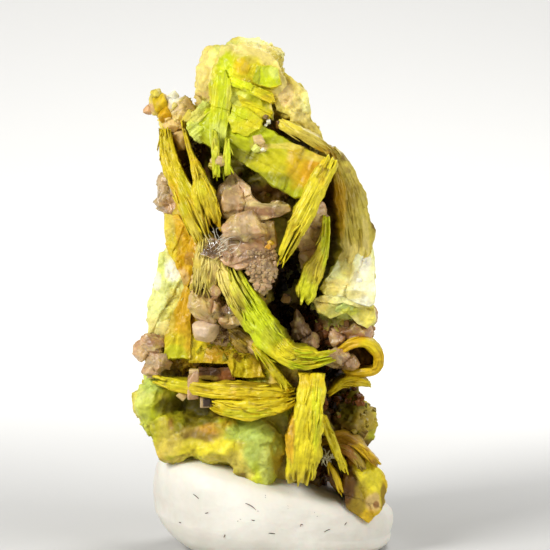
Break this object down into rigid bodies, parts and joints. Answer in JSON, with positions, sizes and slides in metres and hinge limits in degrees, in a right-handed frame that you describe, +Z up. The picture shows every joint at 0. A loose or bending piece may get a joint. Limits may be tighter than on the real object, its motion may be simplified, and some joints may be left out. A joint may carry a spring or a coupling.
{
  "type": "uranocircite mineral specimen",
  "caption": "Upright specimen of yellow-green uranocircite plate books grown with lumps of smoky quartz, its foot pressed into a pad of white mineral tack.",
  "frame": {"origin": "on the flat foot of the tack pad, below the middle of the specimen", "axes": "+Z up along the specimen's length, -Y towards the side that the picture shows, +X to the right of it"},
  "size_m": [0.0105, 0.009, 0.0203],
  "materials": {
    "uranocircite": "yellow-green platy mineral with a pearly lustre, brown and smoky quartz between the plates",
    "white_tack": "matte off-white putty with a little dust"
  },
  "bodies": {
    "root": {"uranocircite_specimen": "uranocircite", "mineral_tack_pad": "white_tack"}
  },
  "joints": []
}
